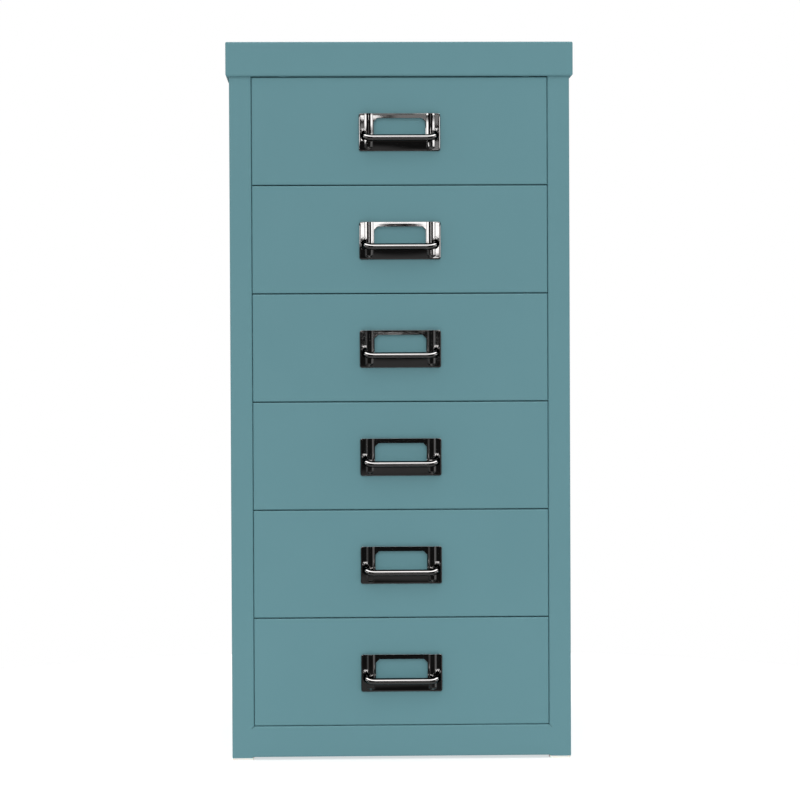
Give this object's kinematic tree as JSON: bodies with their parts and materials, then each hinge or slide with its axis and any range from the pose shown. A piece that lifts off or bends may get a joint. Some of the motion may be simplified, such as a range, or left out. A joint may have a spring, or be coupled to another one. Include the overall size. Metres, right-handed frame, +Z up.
{
  "type": "metal drawer cabinet",
  "caption": "Free-standing steel cabinet with a column of full-width drawers that slide on ball runners and open by chrome card-frame pulls.",
  "frame": {"origin": "on the floor, under the middle of the bounding box", "axes": "+Z up, the drawer fronts face -Y and open towards -Y, +X is right when facing +Y"},
  "size_m": [0.2848, 0.4007, 0.59],
  "materials": {
    "cabinet_paint": "satin teal-grey powder coat with a fine orange-peel surface",
    "zinc_steel": "bright zinc-plated roll-formed steel",
    "chrome": "bright chrome plate on pressed steel",
    "ball_steel": "polished hardened steel balls",
    "nylon": "natural moulded nylon"
  },
  "bodies": {
    "carcass": {"top_cap": "cabinet_paint", "side_panel_left": "cabinet_paint", "side_panel_right": "cabinet_paint", "back_panel": "cabinet_paint", "base_pan": "cabinet_paint", "header_rail": "cabinet_paint", "upright_front_left": "cabinet_paint", "upright_front_right": "cabinet_paint", "upright_rear_left": "cabinet_paint", "upright_rear_right": "cabinet_paint", "corner_feet": "nylon", "cabinet_runners_1": "zinc_steel", "cabinet_runners_2": "zinc_steel", "cabinet_runners_3": "zinc_steel", "cabinet_runners_4": "zinc_steel", "cabinet_runners_5": "zinc_steel", "cabinet_runners_6": "zinc_steel"},
    "drawer_1": {"drawer_1_front": "cabinet_paint", "drawer_1_tray": "cabinet_paint", "drawer_1_pull": "chrome", "drawer_1_channels": "zinc_steel"},
    "cages_1": {"drawer_1_ball_cages": "nylon", "drawer_1_balls": "ball_steel"},
    "drawer_2": {"drawer_2_front": "cabinet_paint", "drawer_2_tray": "cabinet_paint", "drawer_2_pull": "chrome", "drawer_2_channels": "zinc_steel"},
    "cages_2": {"drawer_2_ball_cages": "nylon", "drawer_2_balls": "ball_steel"},
    "drawer_3": {"drawer_3_front": "cabinet_paint", "drawer_3_tray": "cabinet_paint", "drawer_3_pull": "chrome", "drawer_3_channels": "zinc_steel"},
    "cages_3": {"drawer_3_ball_cages": "nylon", "drawer_3_balls": "ball_steel"},
    "drawer_4": {"drawer_4_front": "cabinet_paint", "drawer_4_tray": "cabinet_paint", "drawer_4_pull": "chrome", "drawer_4_channels": "zinc_steel"},
    "cages_4": {"drawer_4_ball_cages": "nylon", "drawer_4_balls": "ball_steel"},
    "drawer_5": {"drawer_5_front": "cabinet_paint", "drawer_5_tray": "cabinet_paint", "drawer_5_pull": "chrome", "drawer_5_channels": "zinc_steel"},
    "cages_5": {"drawer_5_ball_cages": "nylon", "drawer_5_balls": "ball_steel"},
    "drawer_6": {"drawer_6_front": "cabinet_paint", "drawer_6_tray": "cabinet_paint", "drawer_6_pull": "chrome", "drawer_6_channels": "zinc_steel"},
    "cages_6": {"drawer_6_ball_cages": "nylon", "drawer_6_balls": "ball_steel"}
  },
  "joints": [
    {"name": "drawer_1_slide", "type": "slide", "parent": "carcass", "child": "drawer_1", "axis": [0, -1, 0], "range_m": [0, 0.24]},
    {"name": "cages_1_slide", "type": "slide", "parent": "carcass", "child": "cages_1", "axis": [0, -1, 0], "range_m": [0, 0.12]},
    {"name": "drawer_2_slide", "type": "slide", "parent": "carcass", "child": "drawer_2", "axis": [0, -1, 0], "range_m": [0, 0.24]},
    {"name": "cages_2_slide", "type": "slide", "parent": "carcass", "child": "cages_2", "axis": [0, -1, 0], "range_m": [0, 0.12]},
    {"name": "drawer_3_slide", "type": "slide", "parent": "carcass", "child": "drawer_3", "axis": [0, -1, 0], "range_m": [0, 0.24]},
    {"name": "cages_3_slide", "type": "slide", "parent": "carcass", "child": "cages_3", "axis": [0, -1, 0], "range_m": [0, 0.12]},
    {"name": "drawer_4_slide", "type": "slide", "parent": "carcass", "child": "drawer_4", "axis": [0, -1, 0], "range_m": [0, 0.24]},
    {"name": "cages_4_slide", "type": "slide", "parent": "carcass", "child": "cages_4", "axis": [0, -1, 0], "range_m": [0, 0.12]},
    {"name": "drawer_5_slide", "type": "slide", "parent": "carcass", "child": "drawer_5", "axis": [0, -1, 0], "range_m": [0, 0.24]},
    {"name": "cages_5_slide", "type": "slide", "parent": "carcass", "child": "cages_5", "axis": [0, -1, 0], "range_m": [0, 0.12]},
    {"name": "drawer_6_slide", "type": "slide", "parent": "carcass", "child": "drawer_6", "axis": [0, -1, 0], "range_m": [0, 0.24]},
    {"name": "cages_6_slide", "type": "slide", "parent": "carcass", "child": "cages_6", "axis": [0, -1, 0], "range_m": [0, 0.12]}
  ],
  "couplings": [
    {"joint": "cages_1_slide", "follows": "drawer_1_slide", "ratio": 0.5},
    {"joint": "cages_2_slide", "follows": "drawer_2_slide", "ratio": 0.5},
    {"joint": "cages_3_slide", "follows": "drawer_3_slide", "ratio": 0.5},
    {"joint": "cages_4_slide", "follows": "drawer_4_slide", "ratio": 0.5},
    {"joint": "cages_5_slide", "follows": "drawer_5_slide", "ratio": 0.5},
    {"joint": "cages_6_slide", "follows": "drawer_6_slide", "ratio": 0.5}
  ]
}
